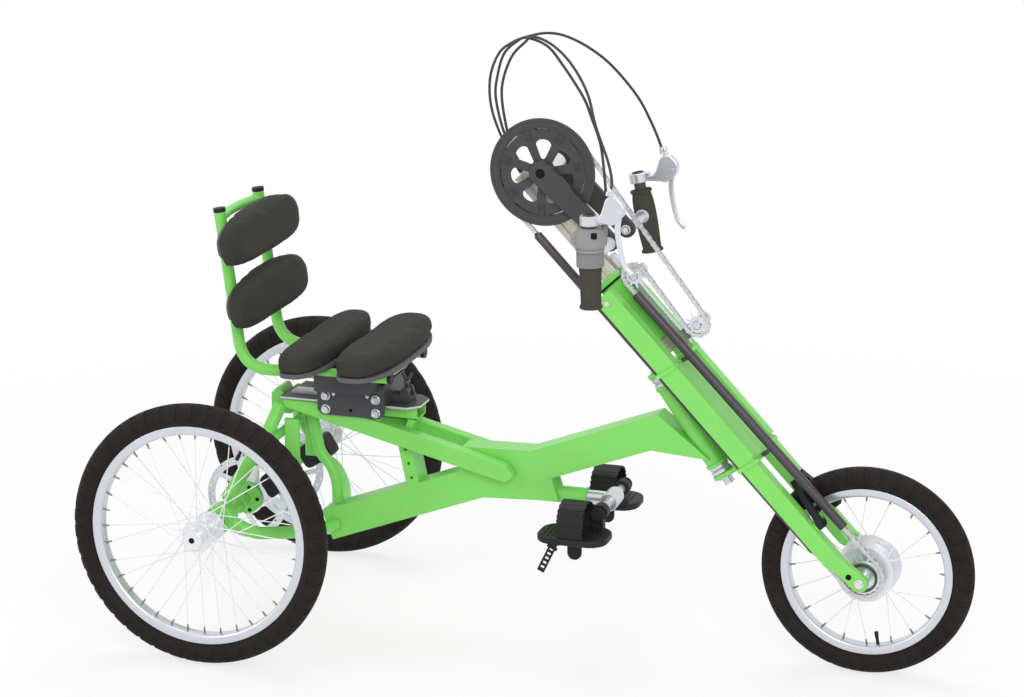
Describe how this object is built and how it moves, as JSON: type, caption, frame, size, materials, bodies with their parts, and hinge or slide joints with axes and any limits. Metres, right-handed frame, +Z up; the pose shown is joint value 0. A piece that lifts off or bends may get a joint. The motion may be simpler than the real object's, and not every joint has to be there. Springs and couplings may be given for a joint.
{
  "type": "adaptive tricycle",
  "caption": "Hand-cranked recumbent tricycle with a leaning fork, mast-mounted cranks, a padded sliding seat, footplates and open frame.",
  "frame": {"origin": "on the ground, under the middle of the overall length and width", "axes": "+X forward towards the front wheel, +Y to the rider's left, +Z up"},
  "size_m": [1.6065, 0.694, 1.1475],
  "materials": {
    "frame_green": "gloss",
    "silver_metal": "satin",
    "tyre_rubber": "matte",
    "grip_rubber": "matte",
    "pad_cover": "matte",
    "dark_metal": "satin",
    "black_plastic": "satin",
    "guard_grey": "satin",
    "mast_cream": "satin",
    "chain_steel": "satin",
    "tube_grey": "gloss",
    "shifter_grey": "satin",
    "cable_black": "satin"
  },
  "bodies": {
    "frame": {"spine": "frame_green", "head_tube": "frame_green", "upper_stay_left": "frame_green", "upper_stay_right": "frame_green", "lower_stay_left": "frame_green", "lower_stay_right": "frame_green", "rail_support": "frame_green", "seat_rail": "dark_metal", "footrest_receiver": "frame_green", "caliper_left": "black_plastic", "caliper_right": "black_plastic"},
    "rear_wheel_left": {"tyre_rear_left": "tyre_rubber", "wheel_rear_left": "silver_metal", "axle_rear_left": "frame_green", "brake_disc_left": "silver_metal"},
    "rear_wheel_right": {"tyre_rear_right": "tyre_rubber", "wheel_rear_right": "silver_metal", "axle_rear_right": "frame_green", "brake_disc_right": "silver_metal"},
    "seat": {"seat_clamp": "dark_metal", "seat_frame": "frame_green", "back_pad_upper": "pad_cover", "back_pad_lower": "pad_cover", "seat_pad_rear": "pad_cover", "seat_pad_front": "pad_cover"},
    "latch": {"seat_latch": "dark_metal"},
    "footrest": {"footrest_tube": "silver_metal"},
    "plate_left": {"footplate_left": "black_plastic"},
    "plate_right": {"footplate_right": "black_plastic"},
    "fork": {"steerer": "silver_metal", "fork_crown": "frame_green", "fork_leg_left": "frame_green", "fork_leg_right": "frame_green", "front_axle": "dark_metal", "mast": "mast_cream", "mast_clamp": "frame_green", "idler_bar": "mast_cream", "chain_tube_front": "tube_grey", "chain_tube_rear": "tube_grey", "chain": "chain_steel", "cable_left": "cable_black", "cable_shifter": "cable_black", "cable_right": "cable_black"},
    "front_wheel": {"tyre_front": "tyre_rubber", "wheel_front": "silver_metal"},
    "cranks": {"chainring": "chain_steel", "chain_guard": "guard_grey", "crank_arms": "guard_grey"},
    "sprocket": {"hub_sprocket": "chain_steel"},
    "idler_high": {"chain_idler_top": "chain_steel"},
    "idler_low": {"chain_idler_tension": "chain_steel"},
    "hand_left": {"handle_left": "silver_metal", "grip_left": "grip_rubber"},
    "hand_right": {"handle_right": "silver_metal", "grip_right": "grip_rubber"},
    "blade_left": {"lever_left": "chain_steel"},
    "blade_right": {"lever_right": "chain_steel"},
    "shifter": {"shifter_twist": "shifter_grey"},
    "arm_left": {"brake_arm_left": "black_plastic"},
    "arm_right": {"brake_arm_right": "black_plastic"}
  },
  "joints": [
    {"name": "steer", "type": "hinge", "parent": "frame", "child": "fork", "pos_m": [0.3295, 0, 0.369], "axis": [-0.5736, 0, 0.8191], "range_deg": [-35, 35]},
    {"name": "rear_wheel_left_spin", "type": "hinge", "parent": "frame", "child": "rear_wheel_left", "pos_m": [-0.5575, 0.32, 0.247], "axis": [0, 1, 0], "continuous": true},
    {"name": "rear_wheel_right_spin", "type": "hinge", "parent": "frame", "child": "rear_wheel_right", "pos_m": [-0.5575, -0.32, 0.247], "axis": [0, 1, 0], "continuous": true},
    {"name": "front_wheel_spin", "type": "hinge", "parent": "fork", "child": "front_wheel", "pos_m": [0.6095, 0, 0.195], "axis": [0, 1, 0], "continuous": true},
    {"name": "crank_spin", "type": "hinge", "parent": "fork", "child": "cranks", "pos_m": [0.00842, 0, 0.89998], "axis": [0, 1, 0], "continuous": true, "deforming": ["chain", "cable_left", "cable_shifter", "cable_right"]},
    {"name": "hub_sprocket_spin", "type": "hinge", "parent": "fork", "child": "sprocket", "pos_m": [0.6095, 0, 0.195], "axis": [0, 1, 0], "continuous": true},
    {"name": "idler_high_spin", "type": "hinge", "parent": "fork", "child": "idler_high", "pos_m": [0.17849, 0, 0.7206], "axis": [0, 1, 0], "continuous": true},
    {"name": "idler_low_spin", "type": "hinge", "parent": "fork", "child": "idler_low", "pos_m": [0.29649, 0, 0.6395], "axis": [0, 1, 0], "continuous": true},
    {"name": "hand_left_turn", "type": "hinge", "parent": "cranks", "child": "hand_left", "pos_m": [0.13765, 0.185, 0.78198], "axis": [0, 1, 0], "continuous": true},
    {"name": "hand_right_turn", "type": "hinge", "parent": "cranks", "child": "hand_right", "pos_m": [0.13765, -0.185, 0.78198], "axis": [0, 1, 0], "continuous": true},
    {"name": "lever_left_pull", "type": "hinge", "parent": "hand_left", "child": "blade_left", "pos_m": [0.18965, 0.185, 0.86998], "axis": [0, 1, 0], "range_deg": [0, 20]},
    {"name": "lever_right_pull", "type": "hinge", "parent": "hand_right", "child": "blade_right", "pos_m": [0.18965, -0.185, 0.86998], "axis": [0, 1, 0], "range_deg": [0, 14]},
    {"name": "shifter_turn", "type": "hinge", "parent": "hand_right", "child": "shifter", "pos_m": [0.13765, -0.185, 0.78198], "axis": [-0.0262, 0, 0.9997], "range_deg": [-40, 40]},
    {"name": "brake_arm_left_swing", "type": "hinge", "parent": "fork", "child": "arm_left", "pos_m": [0.52293, 0.066, 0.28655], "axis": [0.7266, 0, 0.6871], "range_deg": [-12, 3]},
    {"name": "brake_arm_right_swing", "type": "hinge", "parent": "fork", "child": "arm_right", "pos_m": [0.52293, -0.066, 0.28655], "axis": [0.7266, 0, 0.6871], "range_deg": [-3, 12]},
    {"name": "footrest_slide", "type": "slide", "parent": "frame", "child": "footrest", "axis": [1, 0, 0], "range_m": [-0.025, 0.06]},
    {"name": "plate_left_tilt", "type": "hinge", "parent": "footrest", "child": "plate_left", "pos_m": [0.1295, 0.11, 0.282], "axis": [0, 1, 0], "range_deg": [-35, 35]},
    {"name": "plate_right_tilt", "type": "hinge", "parent": "footrest", "child": "plate_right", "pos_m": [0.1295, -0.11, 0.282], "axis": [0, 1, 0], "range_deg": [-35, 35]},
    {"name": "seat_slide", "type": "slide", "parent": "frame", "child": "seat", "axis": [1, 0, 0], "range_m": [-0.065, 0.055]},
    {"name": "seat_latch_turn", "type": "hinge", "parent": "seat", "child": "latch", "pos_m": [-0.2695, 0, 0.456], "axis": [0, 1, 0], "range_deg": [-10, 65]}
  ],
  "couplings": [
    {"joint": "hub_sprocket_spin", "follows": "crank_spin", "ratio": 2.4444},
    {"joint": "idler_high_spin", "follows": "crank_spin", "ratio": -4.4},
    {"joint": "idler_low_spin", "follows": "crank_spin", "ratio": 4.4},
    {"joint": "hand_left_turn", "follows": "crank_spin", "ratio": -1},
    {"joint": "hand_right_turn", "follows": "crank_spin", "ratio": -1}
  ]
}
